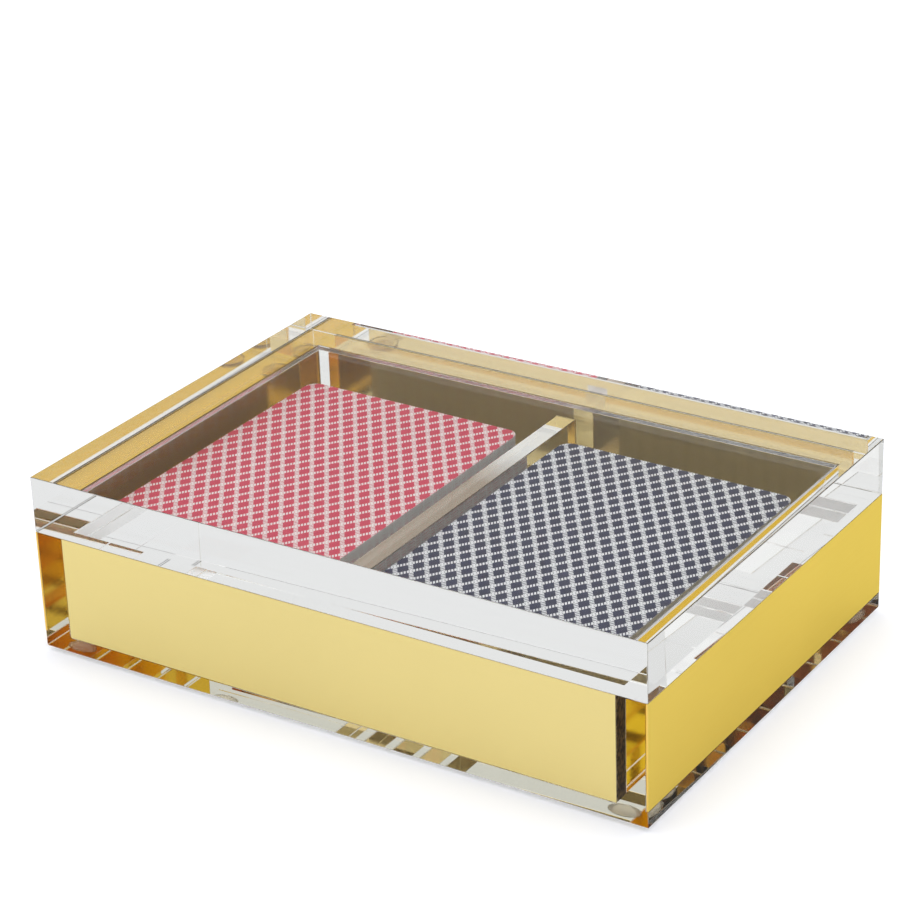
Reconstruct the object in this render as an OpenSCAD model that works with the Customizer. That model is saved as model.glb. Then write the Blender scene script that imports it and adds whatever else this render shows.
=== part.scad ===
// Clear acrylic playing-card box with brass side panels, a lift-off slab lid,
// two wells and two decks of cards.
// Millimetres, +Z up. The origin is under the middle of the box, on the surface it stands on.
// The front faces -Y.

/* [Case] */
// Overall width, left to right
case_w = 165; // [150:1:210]
// Overall depth, front to back
case_d = 114; // [106:1:150]
// Thickness of the clear base plate
base_t = 4.1; // [3:0.1:8]
// Height of the clear walls above the base plate
wall_h = 26.3; // [24:0.1:45]
// Thickness of the clear walls, without their brass panels
wall_t = 7.3; // [4:0.1:9]

/* [Brass panels] */
// Thickness of the brass sheet bonded to each outer wall face
brass_t = 0.5; // [0.3:0.1:1]

/* [Divider] */
// Thickness of the middle divider
divider_t = 5.4; // [3:0.1:7]
// Height of the divider above the base plate
divider_h = 20; // [16:0.1:21]

/* [Lid] */
// Thickness of the lid slab
lid_t = 14.4; // [8:0.1:20]
// Thickness of the locating plate under the slab
lip_t = 3; // [2:0.1:4]
// Gap between the locating plate and the walls, on each side
lip_gap = 0.5; // [0.2:0.1:1]

/* [Feet] */
// Diameter of each bumper foot
foot_d = 8; // [6:0.5:12]
// Height of each foot
foot_h = 1.2; // [1:0.1:3]
// Radius of the lower edge of each foot
foot_edge_r = 0.6; // [0.3:0.1:0.9]
// Distance of each foot's centre from the box's side
foot_inset_x = 8; // [7:0.5:14]
// Distance of each foot's centre from the box's front or back
foot_inset_y = 7; // [7:0.5:14]

/* [Cards] */
// Width of a card
card_w = 63.5; // [56:0.5:64]
// Length of a card
card_l = 88.9; // [86:0.1:90]
// Radius of a card's corners
card_r = 3.3; // [2:0.1:5]
// Thickness of a card
card_t = 0.3; // [0.25:0.01:0.34]
// Air between two cards that lie on each other
card_air = 0.03; // [0.02:0.01:0.05]
// Number of cards in each deck
card_count = 54; // [40:1:54]

/* [Decks] */
// Gap between the front wall and both decks
deck_front_gap = 0.8; // [0.3:0.1:3]
// Gap between the left wall and the red deck
red_side_gap = 2.4; // [0.3:0.1:4]
// Gap between the divider and the navy deck
navy_side_gap = 0.5; // [0.3:0.1:3]
// Turn of the red deck in its well, in degrees
red_turn = -0.5; // [-1:0.1:1]
// Turn of the navy deck in its well, in degrees
navy_turn = -0.7; // [-1:0.1:1]

/* [Hidden] */
$fn = 64;

base_z = foot_h;
floor_z = base_z + base_t;
rim_z = floor_z + wall_h;

side_t = wall_t + brass_t;
well_x = case_w / 2 - side_t;
well_y = case_d / 2 - side_t;
foot_x = case_w / 2 - foot_inset_x;
foot_y = case_d / 2 - foot_inset_y;

card_pitch = card_t + card_air;

// Half the width and length that a card takes up once it is turned
function turned_half_w(turn) = (card_w * cos(turn) + card_l * abs(sin(turn))) / 2;
function turned_half_l(turn) = (card_l * cos(turn) + card_w * abs(sin(turn))) / 2;

// Centre of each deck on the floor of its well
red_at = [-well_x + red_side_gap + turned_half_w(red_turn),
    -well_y + deck_front_gap + turned_half_l(red_turn), floor_z];
navy_at = [divider_t / 2 + navy_side_gap + turned_half_w(navy_turn),
    -well_y + deck_front_gap + turned_half_l(navy_turn), floor_z];

CLEAR = [0.86, 0.89, 0.9, 0.35];
BRASS = [0.82, 0.68, 0.36];
FOOT = [0.8, 0.8, 0.78, 0.6];
RED = [0.76, 0.2, 0.28];
NAVY = [0.2, 0.22, 0.34];
CARD_EDGE = [0.92, 0.9, 0.86];

// A block given by its two opposite corners
module block(low, high) {
    translate(low) cube(high - low);
}

// A wall or panel between two X values and two Y values, standing on the base plate
module upright(x0, x1, y0, y1, h = wall_h) {
    block([x0, y0, floor_z], [x1, y1, floor_z + h]);
}

module base_plate() {
    color(CLEAR)
        block([-case_w / 2, -case_d / 2, base_z], [case_w / 2, case_d / 2, floor_z]);
}

// Side walls run the full depth, and the front and back walls fit between them
module right_wall() {
    color(CLEAR) upright(well_x, well_x + wall_t, -case_d / 2, case_d / 2);
}

module left_wall() {
    mirror([1, 0, 0]) right_wall();
}

module back_wall() {
    color(CLEAR) upright(-well_x, well_x, well_y, well_y + wall_t);
}

module front_wall() {
    mirror([0, 1, 0]) back_wall();
}

module divider() {
    color(CLEAR) upright(-divider_t / 2, divider_t / 2, -well_y, well_y, divider_h);
}

// Brass sheets cover the walls' outer faces, flush with the base plate and the lid
module right_brass_panel() {
    color(BRASS) upright(case_w / 2 - brass_t, case_w / 2, -case_d / 2, case_d / 2);
}

module left_brass_panel() {
    mirror([1, 0, 0]) right_brass_panel();
}

module back_brass_panel() {
    color(BRASS) upright(-well_x, well_x, case_d / 2 - brass_t, case_d / 2);
}

module front_brass_panel() {
    mirror([0, 1, 0]) back_brass_panel();
}

// A bumper foot with a rounded lower edge, under the base plate
module foot(x, y) {
    color(FOOT)
        translate([x, y, 0])
            rotate_extrude()
                union() {
                    square([foot_d / 2 - foot_edge_r, foot_h]);
                    translate([0, foot_edge_r]) square([foot_d / 2, foot_h - foot_edge_r]);
                    translate([foot_d / 2 - foot_edge_r, foot_edge_r]) circle(foot_edge_r);
                }
}

module lid_slab() {
    color(CLEAR)
        block([-case_w / 2, -case_d / 2, rim_z], [case_w / 2, case_d / 2, rim_z + lid_t]);
}

// The plate bonded under the slab drops between the walls and keeps the lid in place
module lid_locating_plate() {
    color(CLEAR)
        block([-well_x + lip_gap, -well_y + lip_gap, rim_z - lip_t],
            [well_x - lip_gap, well_y - lip_gap, rim_z]);
}

module card_outline() {
    square([card_w - 2 * card_r, card_l], center = true);
    square([card_w, card_l - 2 * card_r], center = true);
    for (x = [-1, 1], y = [-1, 1])
        translate([x * (card_w / 2 - card_r), y * (card_l / 2 - card_r)]) circle(card_r);
}

// Cards first to last of a deck, counted from 0 at the bottom
module cards(at, turn, first, last) {
    translate(at)
        rotate(turn)
            for (i = [first:last])
                translate([0, 0, i * card_pitch]) linear_extrude(card_t) card_outline();
}

module red_cards(first, last) {
    cards(red_at, red_turn, first, last);
}

module navy_cards(first, last) {
    cards(navy_at, navy_turn, first, last);
}

base_plate();
left_wall();
right_wall();
front_wall();
back_wall();
divider();
left_brass_panel();
right_brass_panel();
front_brass_panel();
back_brass_panel();
foot(-foot_x, -foot_y);  // front_left_foot
foot(foot_x, -foot_y);  // front_right_foot
foot(-foot_x, foot_y);  // back_left_foot
foot(foot_x, foot_y);  // back_right_foot
lid_slab();
lid_locating_plate();
color(CARD_EDGE) red_cards(0, 0);  // red_bottom_card
color(CARD_EDGE) red_cards(1, card_count - 2);  // red_card_stack
color(RED) red_cards(card_count - 1, card_count - 1);  // red_top_card
color(CARD_EDGE) navy_cards(0, 0);  // navy_bottom_card
color(CARD_EDGE) navy_cards(1, card_count - 2);  // navy_card_stack
color(NAVY) navy_cards(card_count - 1, card_count - 1);  // navy_top_card
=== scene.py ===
"""Looks of a clear acrylic and brass two-deck playing-card box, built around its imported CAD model."""
import math
import random

import bmesh
import bpy
from mathutils import Matrix, Vector


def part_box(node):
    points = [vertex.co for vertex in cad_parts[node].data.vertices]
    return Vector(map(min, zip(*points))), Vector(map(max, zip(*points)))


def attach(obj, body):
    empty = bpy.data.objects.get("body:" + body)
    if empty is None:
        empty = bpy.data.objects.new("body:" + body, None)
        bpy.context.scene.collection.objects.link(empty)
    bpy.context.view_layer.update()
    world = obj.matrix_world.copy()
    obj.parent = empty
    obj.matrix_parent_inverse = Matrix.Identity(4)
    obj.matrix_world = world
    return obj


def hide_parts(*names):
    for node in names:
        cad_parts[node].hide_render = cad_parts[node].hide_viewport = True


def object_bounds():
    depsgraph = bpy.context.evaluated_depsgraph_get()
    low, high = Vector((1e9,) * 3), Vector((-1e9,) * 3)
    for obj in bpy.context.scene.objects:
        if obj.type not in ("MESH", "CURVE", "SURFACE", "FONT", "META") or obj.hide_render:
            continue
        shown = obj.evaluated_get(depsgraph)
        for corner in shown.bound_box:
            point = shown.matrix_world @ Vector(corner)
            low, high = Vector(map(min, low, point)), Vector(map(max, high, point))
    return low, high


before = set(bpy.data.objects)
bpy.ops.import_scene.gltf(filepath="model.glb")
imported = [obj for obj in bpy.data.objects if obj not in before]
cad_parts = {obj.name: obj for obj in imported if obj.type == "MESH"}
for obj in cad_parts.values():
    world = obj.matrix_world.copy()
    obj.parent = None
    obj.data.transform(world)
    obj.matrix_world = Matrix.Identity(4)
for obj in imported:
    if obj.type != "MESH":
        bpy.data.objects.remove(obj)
CAD_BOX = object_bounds()
MM = 0.001

# The camera: its angles in radians, its distance and target in widths of the box, its lens in millimetres
VIEW_AZIMUTH = math.radians(33.43)
VIEW_ELEVATION = math.radians(25.21)
VIEW_ROLL = math.radians(-2.06)
VIEW_DISTANCE = 4.142
VIEW_TARGET = Vector((-0.003, 0.0, 0.268))
SENSOR = 36.0
LENS = 114.15

# How far the clear walls reach into the brass, so that no air lies between them
BOND = 0.06 * MM
# Air between the lid and the rim of the walls, and twice the air under the lowest card
SEAT = 0.05 * MM
# Width of the small bevel along the edges of the acrylic and of the brass
ARRIS = 0.22 * MM
BRASS_ARRIS = 0.08 * MM
ARRIS_SEGMENTS = 2

# Levels of the studio, where 1 is white. The floor's own glow for the camera and in satin metal
FLOOR_LIFT = 0.3
FLOOR_MIRRORED = 0.15
# What shows through acrylic: with no reflection on the way, after a reflection, and towards the front
CLEAR_LEVEL = 0.97
THROUGH_LEVEL = 0.8
FRONT_LEVEL = 1.0
FLOOR_FRONT_LEVEL = 0.91
# What shows after many reflections: painted shade, a darker tint on the studio that stands in for the
# light which real acrylic loses and tints
DEEP_PAINTED_SHADE = (0.62, 0.61, 0.53, 1)
# The floor under the box as the acrylic shows it, at its edge and in its middle, with no reflection on the
# way and after one. All four are painted shade and light. With no reflection, the edge is a painted
# contact shadow and the middle a painted shadow of the decks. After one reflection, the edge is a painted
# glow and the brown middle is painted shade with painted bounce light of the brass
UNDER_EDGE_PAINTED_SHADE = (0.8, 0.79, 0.74, 1)
UNDER_MIDDLE_PAINTED_SHADOW = (0.66, 0.64, 0.61, 1)
REFLECTED_EDGE_PAINTED_LIGHT = (1.0, 0.99, 0.97, 1)
REFLECTED_MIDDLE_PAINTED_SHADE = (0.45, 0.36, 0.27, 1)
# How far inside the outline of the box the edge tone ends and the middle tone starts
UNDER_BAND = (12 * MM, 32 * MM)
# How far in front of the middle of the box the floor has its front level
FLOOR_FRONT_REACH = 60 * MM
# Share of the painted shade and light above in what acrylic shows of the floor; the rest is the lit floor
FLOOR_PAINTED_SHARE = 0.95
# Share of the studio that a sharp reflection leaves out
SHARP_DIMMING = 0.75

# Levels of the world against the height of a direction, from 0 at the horizon to 1 overhead
LIGHT_IN_OPEN_AIR = ((0.0, 0.6), (0.5, 1.0), (0.8, 1.1))
LIGHT_THROUGH_ACRYLIC = ((0.0, 0.8), (0.5, 1.45), (0.8, 1.6))
SEEN_IN_METAL = ((0.0, 0.7), (0.2, 0.4), (0.35, 0.25), (0.6, 0.25), (0.85, 1.0))
SEEN_AFTER_ONE_REFLECTION = ((0.0, THROUGH_LEVEL), (0.2, 0.58), (0.35, 0.4), (0.6, 0.4), (0.85, 0.9))

# Trellis on the card backs: diagonals of one rhombus, the dashes along each of its sides, their soft edge
TRELLIS_W = 4.4 * MM
TRELLIS_H = 6.2 * MM
DASHES = 5
DASH_LENGTH = 0.5 * MM
DASH_WIDTH = 1.08 * MM
DASH_FADE = 0.08 * MM

CARD_CORNER = 3.3 * MM
CARD_CORNER_STEPS = 6
CARD_COUNT = 54
CARD_TURN = {"red": math.radians(-0.5), "navy": math.radians(-0.7)}
# How far the cards of a deck lie out of line, and the distance from a card's middle that sets their turn
CARD_SLIP = 0.03 * MM
SLIP_ARM = 60 * MM

# Film at the sawn, cemented end of a wall, dark with painted shade: half its thickness, and how far it
# stays inside the wall's faces and below its rim
JOINT_SHADE_HALF = 0.03 * MM
JOINT_SHADE_INSET = 0.3 * MM
JOINT_SHADE_BELOW_RIM = 0.4 * MM

# Each brass is its colour seen square on and its edge tint, which keeps it from whitening at a low angle
# The pale brass of the front and back and the deep brass of the left and right are one metal: the pale
# copies are painted light and the deep copies are painted shade, for how the light falls on each side
LIT_SIDE_BRASS = ((0.84, 0.69, 0.28), (0.92, 0.82, 0.45))
SHADED_SIDE_BRASS = ((0.8, 0.61, 0.165), (0.88, 0.76, 0.3))
INNER_LIT_SIDE_BRASS = ((0.88, 0.7, 0.34), (0.94, 0.83, 0.52))
INNER_SHADED_SIDE_BRASS = ((0.87, 0.58, 0.13), (0.93, 0.75, 0.24))
SATIN_ROUGHNESS = 0.34
BONDED_ROUGHNESS = 0.1


# ---------------------------------------------------------------- node helpers

class Nodes:
    """Short ways to add nodes to one material or world. A value is a number, a colour or a socket."""

    def __init__(self, tree):
        self.tree = tree

    def add(self, kind, **settings):
        node = self.tree.nodes.new(kind)
        for name, value in settings.items():
            setattr(node, name, value)
        return node

    def feed(self, socket, value):
        if isinstance(value, bpy.types.NodeSocket):
            self.tree.links.new(value, socket)
        else:
            socket.default_value = value

    def math(self, operation, *values):
        node = self.add("ShaderNodeMath", operation=operation)
        for i, value in enumerate(values):
            self.feed(node.inputs[i], value)
        return node.outputs[0]

    def mix(self, share, a, b):
        node = self.add("ShaderNodeMix", data_type="RGBA")
        self.feed(node.inputs["Factor"], share)
        self.feed(node.inputs[6], a)
        self.feed(node.inputs[7], b)
        return node.outputs[2]

    def spread(self, value, low, high, out_low=0.0, out_high=1.0):
        node = self.add("ShaderNodeMapRange")
        for name, number in (("Value", value), ("From Min", low), ("From Max", high),
                             ("To Min", out_low), ("To Max", out_high)):
            self.feed(node.inputs[name], number)
        return node.outputs[0]

    def ramp(self, value, stops):
        node = self.add("ShaderNodeValToRGB")
        self.feed(node.inputs[0], value)
        elements = node.color_ramp.elements
        elements.remove(elements[0])
        elements[0].position, elements[0].color = stops[0][0], grey(stops[0][1])
        for position, level in stops[1:]:
            elements.new(position).color = grey(level)
        return node.outputs[0]

    def noise(self, where, scale, detail=3.0, stretch=(1, 1, 1)):
        placed = self.add("ShaderNodeMapping")
        self.feed(placed.inputs["Vector"], where)
        placed.inputs["Scale"].default_value = stretch
        node = self.add("ShaderNodeTexNoise")
        self.feed(node.inputs["Vector"], placed.outputs[0])
        node.inputs["Scale"].default_value = scale
        node.inputs["Detail"].default_value = detail
        return node.outputs["Fac"]

    def place(self):
        return self.add("ShaderNodeTexCoord").outputs["Object"]

    def axes(self, where):
        node = self.add("ShaderNodeSeparateXYZ")
        self.feed(node.inputs[0], where)
        return node.outputs

    def glow(self, colour):
        node = self.add("ShaderNodeEmission")
        self.feed(node.inputs["Color"], colour)
        return node.outputs[0]

    def blend(self, share, a, b):
        """Mix of two shaders."""
        node = self.add("ShaderNodeMixShader")
        for i, value in enumerate((share, a, b)):
            self.feed(node.inputs[i], value)
        return node.outputs[0]

    def bump(self, height, strength, distance):
        node = self.add("ShaderNodeBump")
        self.feed(node.inputs["Height"], height)
        node.inputs["Strength"].default_value = strength
        node.inputs["Distance"].default_value = distance
        return node.outputs[0]


def new_material(name):
    material = bpy.data.materials.new(name)
    material.use_nodes = True
    nodes = Nodes(material.node_tree)
    shader = next(n for n in material.node_tree.nodes if n.type == "BSDF_PRINCIPLED")
    return material, nodes, shader


def grey(level):
    return (level, level, level, 1)


def scaled(colour, factor):
    return tuple(min(1.0, c * factor) for c in colour) + (1,)


# ---------------------------------------------------------------- materials

def acrylic(name, roughness):
    """Clear cast sheet with a slow wave in its faces."""
    material, nodes, shader = new_material(name)
    shader.inputs["Base Color"].default_value = (0.985, 0.995, 0.99, 1)
    shader.inputs["Transmission Weight"].default_value = 1.0
    shader.inputs["IOR"].default_value = 1.49
    shader.inputs["Roughness"].default_value = roughness
    shader.inputs["Specular Tint"].default_value = grey(0.4)
    wave = nodes.noise(nodes.place(), 14, 1.0)
    nodes.feed(shader.inputs["Normal"], nodes.bump(wave, 0.06, 0.4 * MM))
    return material


def brass(name, colour, edge, roughness, grain_axis):
    """Satin sheet with a fine grain along one axis and a slow drift in its tone."""
    material, nodes, shader = new_material(name)
    where = nodes.place()
    fine = tuple(1.0 if i == grain_axis else 40.0 for i in range(3))
    grain = nodes.noise(where, 60, 4.0, fine)
    drift = nodes.noise(where, 22, 2.0)
    tone = nodes.math("ADD", nodes.math("MULTIPLY", grain, 0.25), nodes.math("MULTIPLY", drift, 0.75))
    nodes.feed(shader.inputs["Base Color"], nodes.mix(tone, scaled(colour, 0.93), scaled(colour, 1.04)))
    uneven = nodes.spread(grain, 0.2, 0.8, roughness - 0.05, roughness + 0.06)
    nodes.feed(shader.inputs["Roughness"], uneven)
    shader.inputs["Metallic"].default_value = 1.0
    shader.inputs["Specular Tint"].default_value = edge + (1,)
    nodes.feed(shader.inputs["Normal"], nodes.bump(grain, 0.12, 0.02 * MM))
    return material


def dash_rows(nodes, along, across):
    """One family of trellis lines, each a row of short dashes laid across it: 1 on a dash, 0 off it.
    along counts rhombus sides along the line, and across counts lines."""
    side = math.hypot(TRELLIS_W, TRELLIS_H) / 2
    gap = TRELLIS_W * TRELLIS_H / (2 * side)
    marks = []
    for position, size, count, width in ((along, side, DASHES, DASH_LENGTH), (across, gap, 1, DASH_WIDTH)):
        steps = nodes.math("MULTIPLY", position, count)
        off = nodes.math("ABSOLUTE", nodes.math("SUBTRACT", steps, nodes.math("ROUND", steps)))
        far = nodes.math("MULTIPLY", off, size / count)
        marks.append(nodes.spread(far, (width + DASH_FADE) / 2, (width - DASH_FADE) / 2))
    return nodes.math("MULTIPLY", *marks)


def card_back(name, ground, ink):
    """Coated card printed with a plain trellis of short dashes."""
    material, nodes, shader = new_material(name)
    where = nodes.place()
    x, y, _ = nodes.axes(where)
    across = nodes.math("DIVIDE", x, TRELLIS_W)
    up = nodes.math("DIVIDE", y, TRELLIS_H)
    rising = nodes.math("SUBTRACT", across, up)
    falling = nodes.math("ADD", across, up)
    dashes = nodes.math("MAXIMUM", dash_rows(nodes, rising, falling), dash_rows(nodes, falling, rising))
    stock = nodes.noise(where, 900, 3.0)
    ground_tone = nodes.mix(stock, scaled(ground, 0.9), scaled(ground, 1.1))
    nodes.feed(shader.inputs["Base Color"], nodes.mix(dashes, ground_tone, ink + (1,)))
    shader.inputs["Roughness"].default_value = 0.42
    nodes.feed(shader.inputs["Normal"], nodes.bump(stock, 0.15, 0.02 * MM))
    return material


def card_stock():
    """White board, as the edges and faces of the cards show it."""
    material, nodes, shader = new_material("card_stock")
    fibre = nodes.noise(nodes.place(), 1500, 3.0)
    nodes.feed(shader.inputs["Base Color"], nodes.mix(fibre, (0.78, 0.76, 0.71, 1), (0.92, 0.9, 0.86, 1)))
    shader.inputs["Roughness"].default_value = 0.55
    nodes.feed(shader.inputs["Normal"], nodes.bump(fibre, 0.2, 0.02 * MM))
    return material


def foot_rubber():
    """Milky beige bumper that lets some light through."""
    material, nodes, shader = new_material("foot_rubber")
    haze = nodes.noise(nodes.place(), 400, 3.0)
    nodes.feed(shader.inputs["Base Color"], nodes.mix(haze, (0.85, 0.74, 0.56, 1), (0.98, 0.93, 0.8, 1)))
    shader.inputs["Roughness"].default_value = 0.15
    shader.inputs["Transmission Weight"].default_value = 0.9
    shader.inputs["IOR"].default_value = 1.41
    nodes.feed(shader.inputs["Normal"], nodes.bump(haze, 0.2, 0.05 * MM))
    return material


def sawn_end_shade():
    """The sawn, cemented end of a wall: rough, blotched and uneven, its dark brown painted shade for the
    little light inside the brass-lined wall.
    """
    material, nodes, shader = new_material("sawn_end_shade")
    where = nodes.place()
    blots = nodes.spread(nodes.noise(where, 900, 5.0), 0.4, 0.62)
    drift = nodes.spread(nodes.noise(where, 60, 2.0), 0.35, 0.65)
    light = nodes.mix(drift, (0.16, 0.09, 0.03, 1), (0.36, 0.25, 0.12, 1))
    nodes.feed(shader.inputs["Base Color"], nodes.mix(blots, (0.03, 0.015, 0.006, 1), light))
    shader.inputs["Roughness"].default_value = 0.6
    nodes.feed(shader.inputs["Normal"], nodes.bump(blots, 0.5, 0.05 * MM))
    return material


# ---------------------------------------------------------------- meshes

def new_object(name, mesh):
    thing = bpy.data.objects.new(name, mesh)
    bpy.context.scene.collection.objects.link(thing)
    return thing


def cell_solid(name, xs, ys, zs, filled):
    """One closed mesh of the filled cells of a grid, with no faces between two filled cells."""
    mesh = bmesh.new()
    corners = {}

    def corner(i, j, k):
        if (i, j, k) not in corners:
            corners[i, j, k] = mesh.verts.new((xs[i], ys[j], zs[k]))
        return corners[i, j, k]

    def solid(i, j, k):
        inside = 0 <= i < len(xs) - 1 and 0 <= j < len(ys) - 1 and 0 <= k < len(zs) - 1
        return inside and filled(*((a[n] + a[n + 1]) / 2 for a, n in ((xs, i), (ys, j), (zs, k))))

    # Each side of a cell: the way to its neighbour, and its corners in order
    sides = (((1, 0, 0), ((1, 0, 0), (1, 1, 0), (1, 1, 1), (1, 0, 1))),
             ((-1, 0, 0), ((0, 0, 0), (0, 0, 1), (0, 1, 1), (0, 1, 0))),
             ((0, 1, 0), ((0, 1, 0), (0, 1, 1), (1, 1, 1), (1, 1, 0))),
             ((0, -1, 0), ((0, 0, 0), (1, 0, 0), (1, 0, 1), (0, 0, 1))),
             ((0, 0, 1), ((0, 0, 1), (1, 0, 1), (1, 1, 1), (0, 1, 1))),
             ((0, 0, -1), ((0, 0, 0), (0, 1, 0), (1, 1, 0), (1, 0, 0))))
    for i in range(len(xs) - 1):
        for j in range(len(ys) - 1):
            for k in range(len(zs) - 1):
                if not solid(i, j, k):
                    continue
                for (di, dj, dk), ring in sides:
                    if not solid(i + di, j + dj, k + dk):
                        mesh.faces.new([corner(i + a, j + b, k + c) for a, b, c in ring])
    bmesh.ops.dissolve_limit(mesh, angle_limit=0.01, verts=mesh.verts, edges=mesh.edges)
    data = bpy.data.meshes.new(name)
    mesh.to_mesh(data)
    mesh.free()
    return new_object(name, data)


def everywhere(x, y, z):
    """For a solid that fills all its cells."""
    return True


def apply_modifiers(thing):
    bpy.context.view_layer.update()
    evaluated = thing.evaluated_get(bpy.context.evaluated_depsgraph_get())
    data = bpy.data.meshes.new_from_object(evaluated)
    thing.modifiers.clear()
    thing.data = data


def soften(thing, width):
    """Small polished arris along every sharp edge, kept inside the shape."""
    bevel = thing.modifiers.new("arris", "BEVEL")
    bevel.width = width
    bevel.segments = ARRIS_SEGMENTS
    bevel.limit_method = "ANGLE"
    bevel.harden_normals = True
    apply_modifiers(thing)


def inside(value, low, high):
    return low < value < high


def clear_body():
    """Base plate, four walls and divider as one bonded clear piece."""
    base_low, base_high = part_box("base_plate")
    left_low, left_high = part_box("left_wall")
    right_low, right_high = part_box("right_wall")
    front_low, front_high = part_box("front_wall")
    back_low, back_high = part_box("back_wall")
    divider_low, divider_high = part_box("divider")
    rim = left_high.z - SEAT
    xs = [base_low.x, left_low.x - BOND, left_high.x, divider_low.x, divider_high.x,
          right_low.x, right_high.x + BOND, base_high.x]
    ys = [base_low.y, front_low.y - BOND, front_high.y, back_low.y, back_high.y + BOND, base_high.y]
    zs = [base_low.z, base_high.z, divider_high.z, rim]

    def filled(x, y, z):
        if z < base_high.z:
            return True
        side = inside(x, left_low.x - BOND, left_high.x) or inside(x, right_low.x, right_high.x + BOND)
        end = inside(x, left_high.x, right_low.x) and (
            inside(y, front_low.y - BOND, front_high.y) or inside(y, back_low.y, back_high.y + BOND))
        middle = z < divider_high.z and inside(x, divider_low.x, divider_high.x) and inside(
            y, front_high.y, back_low.y)
        return side or end or middle

    return cell_solid("clear_body", xs, ys, zs, filled)


def clear_lid():
    """Slab and locating plate as one bonded clear piece."""
    slab_low, slab_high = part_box("lid_slab")
    lip_low, lip_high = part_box("lid_locating_plate")
    xs = [slab_low.x, lip_low.x, lip_high.x, slab_high.x]
    ys = [slab_low.y, lip_low.y, lip_high.y, slab_high.y]
    zs = [lip_low.z, slab_low.z, slab_high.z]

    def filled(x, y, z):
        return z > slab_low.z or (inside(x, lip_low.x, lip_high.x) and inside(y, lip_low.y, lip_high.y))

    return cell_solid("clear_lid", xs, ys, zs, filled)


def panel(node, materials, outward):
    """A brass sheet: satin on its outward face, brighter on the face bonded to the wall."""
    low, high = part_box(node)
    sheet = cell_solid(node.replace("panel", "sheet"), [low.x, high.x], [low.y, high.y], [low.z, high.z],
                       everywhere)
    soften(sheet, BRASS_ARRIS)
    for material in materials:
        sheet.data.materials.append(material)
    for face in sheet.data.polygons:
        face.material_index = 0 if face.normal.dot(outward) > 0.5 else 1
    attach(sheet, "case")
    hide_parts(node)


def joint_shade(wall, side, material):
    """A thin film where the sawn end of a wall is cemented to the wall that passes it, dark with painted
    shade.
    """
    low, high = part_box(wall)
    end = {"left": low.x, "right": high.x}[side]
    xs = [end - JOINT_SHADE_HALF, end + JOINT_SHADE_HALF]
    ys = [low.y + JOINT_SHADE_INSET, (low.y + high.y) / 2, high.y - JOINT_SHADE_INSET]
    zs = [low.z, high.z - JOINT_SHADE_BELOW_RIM]
    end_shade = cell_solid(f"{wall}_{side}_cement", xs, ys, zs, everywhere)
    end_shade.data.materials.append(material)
    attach(end_shade, "case")


def foot(node, material):
    """A bumper disc with a rounded lower edge and a shallow dish underneath."""
    low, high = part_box(node)
    centre = (low + high) / 2
    radius = (high.x - low.x) / 2
    height = high.z - low.z
    edge = 0.5 * height
    edge_steps = 6
    dish_rim = radius - edge - 0.4 * MM
    profile = [(0, 0.12 * height), (0.45 * radius, 0.05 * height), (dish_rim, 0)]
    for step in range(edge_steps + 1):
        turn = math.radians(90 * step / edge_steps)
        profile.append((radius - edge + edge * math.sin(turn), edge - edge * math.cos(turn)))
    profile += [(radius, height + BOND), (0, height + BOND)]
    mesh = bmesh.new()
    ring = [mesh.verts.new((centre.x + r, centre.y, low.z + z)) for r, z in profile]
    edges = [mesh.edges.new(pair) for pair in zip(ring, ring[1:])]
    bmesh.ops.spin(mesh, geom=ring + edges, cent=centre, axis=(0, 0, 1), angle=2 * math.pi, steps=64)
    bmesh.ops.remove_doubles(mesh, verts=mesh.verts, dist=1e-7)
    bmesh.ops.recalc_face_normals(mesh, faces=mesh.faces)
    data = bpy.data.meshes.new(node)
    mesh.to_mesh(data)
    mesh.free()
    for face in data.polygons:
        face.use_smooth = abs(face.normal.z) < 0.99
    disc = new_object(node.replace("foot", "bumper"), data)
    data.materials.append(material)
    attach(disc, "case")
    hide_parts(node)


def card_ring(width, length):
    """Outline of a card with round corners, round its own middle."""
    points = []
    for sx, sy, start in ((1, 1, 0), (-1, 1, 90), (-1, -1, 180), (1, -1, 270)):
        for step in range(CARD_CORNER_STEPS + 1):
            turn = math.radians(start + 90 * step / CARD_CORNER_STEPS)
            points.append((sx * (width / 2 - CARD_CORNER) + CARD_CORNER * math.cos(turn),
                           sy * (length / 2 - CARD_CORNER) + CARD_CORNER * math.sin(turn)))
    return points


def add_card(mesh, ring, place, thickness):
    """One card: its back on top is material 0, the rest is material 1."""
    low = [mesh.verts.new(place @ Vector((x, y, 0))) for x, y in ring]
    high = [mesh.verts.new(place @ Vector((x, y, thickness))) for x, y in ring]
    mesh.faces.new(high).material_index = 0
    mesh.faces.new(low[::-1]).material_index = 1
    for i in range(len(ring)):
        j = (i + 1) % len(ring)
        mesh.faces.new((low[i], low[j], high[j], high[i])).material_index = 1


def cards(name, colour, centre, ring, heights, thickness, materials, draw):
    """Some cards of a deck, each a hair out of line, in a frame that turns with the deck."""
    mesh = bmesh.new()
    for z in heights:
        slip = Matrix.Translation((draw.gauss(0, CARD_SLIP), draw.gauss(0, CARD_SLIP), z))
        turn = Matrix.Rotation(draw.gauss(0, CARD_SLIP / SLIP_ARM), 4, "Z")
        add_card(mesh, ring, slip @ turn, thickness)
    data = bpy.data.meshes.new(name)
    mesh.to_mesh(data)
    mesh.free()
    for material in materials:
        data.materials.append(material)
    pack = new_object(name, data)
    pack.matrix_world = Matrix.Translation(centre) @ Matrix.Rotation(CARD_TURN[colour], 4, "Z")
    return pack


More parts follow.
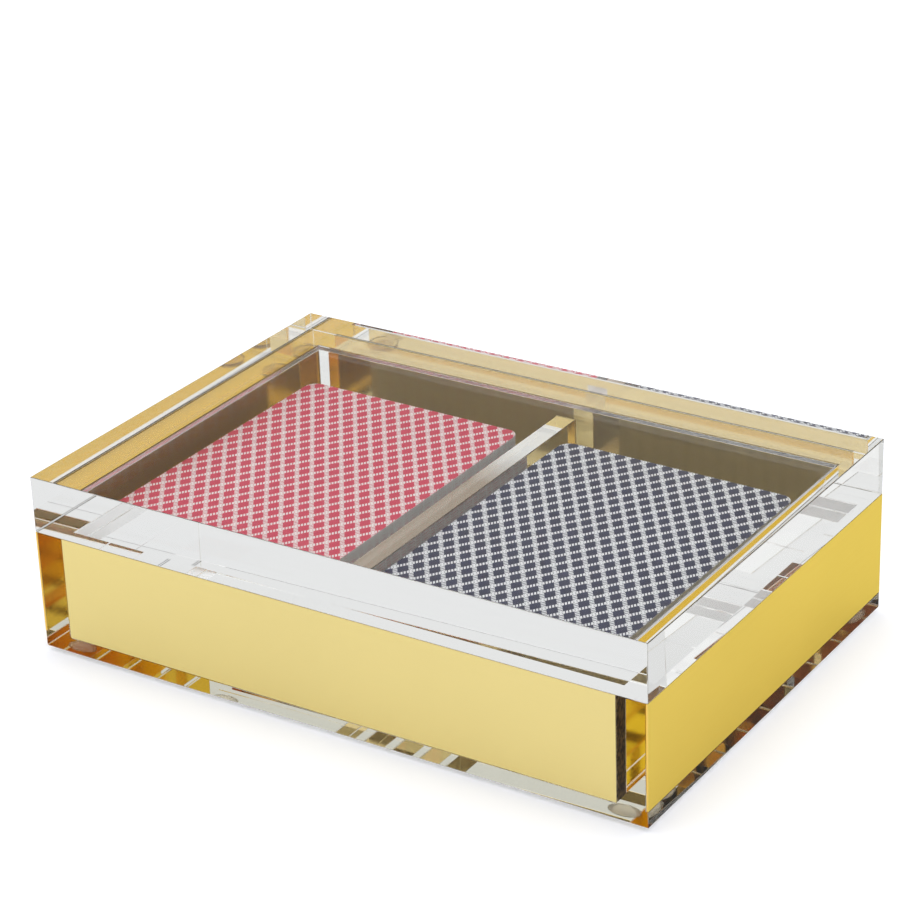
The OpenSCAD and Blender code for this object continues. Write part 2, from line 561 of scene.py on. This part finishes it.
def deck(colour, materials):
    """The bottom card, the cards between and the top card of one deck, as one piece for each CAD node."""
    low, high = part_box(f"{colour}_top_card")
    bottom_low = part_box(f"{colour}_bottom_card")[0]
    thickness = high.z - low.z
    pitch = (low.z - bottom_low.z) / (CARD_COUNT - 1)
    centre = Vector(((low.x + high.x) / 2, (low.y + high.y) / 2, bottom_low.z + SEAT / 2))
    turn = abs(CARD_TURN[colour])
    span_x, span_y = high.x - low.x, high.y - low.y
    # The box of a turned card gives back the card's own size
    spread = math.cos(2 * turn)
    round_x = 2 * CARD_CORNER * (math.cos(turn) + math.sin(turn) - 1)
    width = ((span_x + round_x) * math.cos(turn) - (span_y + round_x) * math.sin(turn)) / spread
    length = ((span_y + round_x) * math.cos(turn) - (span_x + round_x) * math.sin(turn)) / spread
    ring = card_ring(width, length)
    draw = random.Random(colour)
    last = CARD_COUNT - 1
    for part, first, end, slot in (("bottom_card", 0, 1, "card_white"),
                                   ("card_stack", 1, last, "card_white"),
                                   ("top_card", last, last + 1, f"{colour}_card_back")):
        heights = [i * pitch for i in range(first, end)]
        pack = cards(f"{colour}_{part}_detail", colour, centre, ring, heights, thickness, materials, draw)
        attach(pack, f"{colour}_deck")
        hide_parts(f"{colour}_{part}")


# ---------------------------------------------------------------- stage

class Sight:
    """What kind of ray meets the studio. One that has left a matt surface only carries light. The others
    look: straight from the camera, mirrored in metal, or through acrylic, where reflected, trapped and
    deep ones have been turned back once, twice or many times on their way."""

    def __init__(self, nodes):
        path = nodes.add("ShaderNodeLightPath")
        looking = nodes.math("LESS_THAN", path.outputs["Diffuse Depth"], 0.5)
        self.camera = path.outputs["Is Camera Ray"]
        self.mirrored = nodes.math("MULTIPLY", path.outputs["Is Glossy Ray"], looking)
        self.through = nodes.math("MULTIPLY", path.outputs["Is Transmission Ray"], looking)
        self.lit_through = nodes.math("SUBTRACT", path.outputs["Is Transmission Ray"], self.through)
        sharp = nodes.math("MULTIPLY", path.outputs["Is Singular Ray"], path.outputs["Is Reflection Ray"])
        self.sharp = nodes.math("MULTIPLY", sharp, looking)
        self.reflected = nodes.math("GREATER_THAN", path.outputs["Glossy Depth"], 0.5)
        self.trapped = nodes.math("GREATER_THAN", path.outputs["Glossy Depth"], 1.5)
        self.deep = nodes.math("GREATER_THAN", path.outputs["Glossy Depth"], 7.5)


def under_box(nodes, x, y):
    """How far inside the outline of the box a floor point lies, and below 0 outside it."""
    low, high = CAD_BOX
    depths = []
    for i, place in enumerate((x, y)):
        half = (high[i] - low[i]) / 2
        depths.append(nodes.math("SUBTRACT", half, nodes.math("ABSOLUTE", place)))
    return nodes.math("MINIMUM", *depths)


def painted_floor_through_acrylic(nodes, sight):
    """Tone of the floor for rays that come out of the acrylic. Under the box it is painted shade and
    painted light, standing in for the box's shadow and the brass's bounce light; beside the box it is a
    plain level.
    """
    x, y, _ = nodes.axes(nodes.place())
    depth = under_box(nodes, x, y)
    edge = nodes.mix(sight.reflected, UNDER_EDGE_PAINTED_SHADE, REFLECTED_EDGE_PAINTED_LIGHT)
    middle = nodes.mix(sight.reflected, UNDER_MIDDLE_PAINTED_SHADOW, REFLECTED_MIDDLE_PAINTED_SHADE)
    # Painted shadow: the tone goes from the edge tone to the darker middle tone inside the box's outline
    painted_under = nodes.mix(nodes.spread(depth, *UNDER_BAND), edge, middle)
    forward = nodes.spread(y, 0.0, -FLOOR_FRONT_REACH)
    beside = nodes.mix(forward, grey(THROUGH_LEVEL), grey(FLOOR_FRONT_LEVEL))
    beside = nodes.mix(sight.reflected, grey(CLEAR_LEVEL), beside)
    beside = nodes.mix(sight.deep, beside, DEEP_PAINTED_SHADE)
    return nodes.mix(nodes.math("LESS_THAN", depth, 0.0), painted_under, beside)


def studio_floor():
    half_side = 4.0
    below_feet = 0.01 * MM
    mesh = bmesh.new()
    bmesh.ops.create_grid(mesh, x_segments=1, y_segments=1, size=half_side)
    data = bpy.data.meshes.new("studio_floor")
    mesh.to_mesh(data)
    mesh.free()
    floor = new_object("studio_floor", data)
    floor.location.z = CAD_BOX[0][2] + below_feet
    material, nodes, shader = new_material("studio_floor")
    shader.inputs["Base Color"].default_value = (0.77, 0.785, 0.84, 1)
    shader.inputs["Roughness"].default_value = 0.9
    shader.inputs["Specular IOR Level"].default_value = 0.0
    shader.inputs["Emission Color"].default_value = grey(1.0)
    sight = Sight(nodes)
    lift = nodes.math("MULTIPLY", sight.camera, FLOOR_LIFT)
    mirrored = nodes.math("MULTIPLY", sight.mirrored, FLOOR_MIRRORED)
    nodes.feed(shader.inputs["Emission Strength"], nodes.math("ADD", lift, mirrored))
    # Through the acrylic the floor shows mostly its painted shade and light, and only a little of its own
    # lit surface
    painted_share = nodes.math("MULTIPLY", sight.through, FLOOR_PAINTED_SHARE)
    seen = nodes.blend(painted_share, shader.outputs[0], nodes.glow(painted_floor_through_acrylic(nodes, sight)))
    dark_share = nodes.math("MULTIPLY", sight.sharp, SHARP_DIMMING)
    surface = next(n for n in material.node_tree.nodes if n.type == "OUTPUT_MATERIAL")
    nodes.feed(surface.inputs["Surface"], nodes.blend(dark_share, seen, nodes.glow(grey(0.0))))
    data.materials.append(material)


def world_through_acrylic(nodes, sight, y, height):
    """Level of the world for rays that come out of the acrylic."""
    once = nodes.ramp(height, SEEN_AFTER_ONE_REFLECTION)
    level = nodes.mix(sight.trapped, once, grey(THROUGH_LEVEL))
    forward = nodes.spread(y, -0.1, -0.5)
    level = nodes.mix(forward, level, grey(FRONT_LEVEL))
    level = nodes.mix(sight.reflected, grey(CLEAR_LEVEL), level)
    return nodes.mix(sight.deep, level, DEEP_PAINTED_SHADE)


def studio_world():
    world = bpy.data.worlds.new("studio")
    bpy.context.scene.world = world
    world.use_nodes = True
    nodes = Nodes(world.node_tree)
    background = next(n for n in world.node_tree.nodes if n.type == "BACKGROUND")
    _, y, height = nodes.axes(nodes.add("ShaderNodeTexCoord").outputs["Generated"])
    sight = Sight(nodes)
    in_open_air = nodes.ramp(height, LIGHT_IN_OPEN_AIR)
    lighting = nodes.mix(sight.lit_through, in_open_air, nodes.ramp(height, LIGHT_THROUGH_ACRYLIC))
    level = nodes.mix(sight.mirrored, lighting, nodes.ramp(height, SEEN_IN_METAL))
    level = nodes.mix(nodes.math("MULTIPLY", sight.sharp, SHARP_DIMMING), level, grey(0.0))
    level = nodes.mix(sight.through, level, world_through_acrylic(nodes, sight, y, height))
    nodes.feed(background.inputs["Color"], nodes.mix(sight.camera, level, grey(1.0)))
    background.inputs["Strength"].default_value = 1.0


def soft_light(name, place, target, size, power):
    """Rectangular area lamp, its size in metres and its power in watts."""
    light = bpy.data.lights.new(name, "AREA")
    light.shape = "RECTANGLE"
    light.size, light.size_y = size
    light.energy = power
    lamp = bpy.data.objects.new(name, light)
    bpy.context.scene.collection.objects.link(lamp)
    lamp.location = place
    lamp.rotation_euler = (Vector(target) - Vector(place)).to_track_quat("-Z", "Y").to_euler()


def studio_camera():
    """Camera on a line from its target on the base of the box, turned by its roll."""
    low, high = CAD_BOX
    width = high[0] - low[0]
    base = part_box("base_plate")[0].z
    back = Vector((math.sin(VIEW_AZIMUTH) * math.cos(VIEW_ELEVATION),
                   -math.cos(VIEW_AZIMUTH) * math.cos(VIEW_ELEVATION), math.sin(VIEW_ELEVATION)))
    target = VIEW_TARGET * width + Vector((0, 0, base))
    across = Vector((0, 0, 1)).cross(back).normalized()
    up = back.cross(across)
    right = across * math.cos(VIEW_ROLL) + up * math.sin(VIEW_ROLL)
    top = up * math.cos(VIEW_ROLL) - across * math.sin(VIEW_ROLL)
    data = bpy.data.cameras.new("camera")
    data.sensor_width = SENSOR
    data.lens = LENS
    data.clip_start, data.clip_end = 0.01, 50
    camera = bpy.data.objects.new("camera", data)
    bpy.context.scene.collection.objects.link(camera)
    turn = Matrix((right, top, back)).transposed().to_4x4()
    camera.matrix_world = Matrix.Translation(target + back * VIEW_DISTANCE * width) @ turn
    bpy.context.scene.camera = camera


# ---------------------------------------------------------------- assembly

studio_camera()
clear = acrylic("clear_acrylic", 0.0)
body = clear_body()
soften(body, ARRIS)
body.data.materials.append(clear)
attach(body, "case")
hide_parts("base_plate", "left_wall", "right_wall", "front_wall", "back_wall", "divider")

lid = clear_lid()
soften(lid, ARRIS)
lid.data.materials.append(clear)
lid.data.materials.append(acrylic("sawn_acrylic", 0.3))
# The upright faces of the locating plate are sawn, and the rest of the lid is polished
plate_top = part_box("lid_locating_plate")[1].z
for face in lid.data.polygons:
    upright = abs(face.normal.z) < 0.1
    face.material_index = int(upright and face.center.z < plate_top - MM / 2)
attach(lid, "lid")
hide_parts("lid_slab", "lid_locating_plate")

# Lit and shaded copies of one brass: painted light on the front and back, painted shade on the left and
# right
pale = (LIT_SIDE_BRASS, INNER_LIT_SIDE_BRASS)
deep = (SHADED_SIDE_BRASS, INNER_SHADED_SIDE_BRASS)
for side, outward, (outer_tone, inner_tone), grain_axis in (
        ("front", (0, -1, 0), pale, 0), ("back", (0, 1, 0), pale, 0),
        ("left", (-1, 0, 0), deep, 1), ("right", (1, 0, 0), deep, 1)):
    outer = brass(f"{side}_brass_outer", *outer_tone, SATIN_ROUGHNESS, grain_axis)
    inner = brass(f"{side}_brass_inner", *inner_tone, BONDED_ROUGHNESS, grain_axis)
    panel(f"{side}_brass_panel", (outer, inner), Vector(outward))

rubber = foot_rubber()
for corner_name in ("front_left", "front_right", "back_left", "back_right"):
    foot(f"{corner_name}_foot", rubber)

# The dark film at each cemented end is painted shade on a rough sawn end
end_shade = sawn_end_shade()
for side in ("left", "right"):
    joint_shade("front_wall", side, end_shade)

stock = card_stock()
deck("red", (card_back("red_back", (0.72, 0.045, 0.1), (0.96, 0.84, 0.83)), stock))
deck("navy", (card_back("navy_back", (0.035, 0.036, 0.085), (0.9, 0.9, 0.92)), stock))

studio_floor()
studio_world()
soft_light("top_soft", (-0.2, -0.1, 1.1), (0, 0, 0), (1.2, 1.0), 2.2)
soft_light("right_soft", (1.0, 0.5, 0.5), (0, 0, 0.02), (0.7, 0.5), 1.0)

scene = bpy.context.scene
scene.view_settings.view_transform = "Standard"
scene.cycles.max_bounces = 32
scene.cycles.transmission_bounces = 32
scene.cycles.glossy_bounces = 24
scene.cycles.diffuse_bounces = 6
scene.cycles.transparent_max_bounces = 16
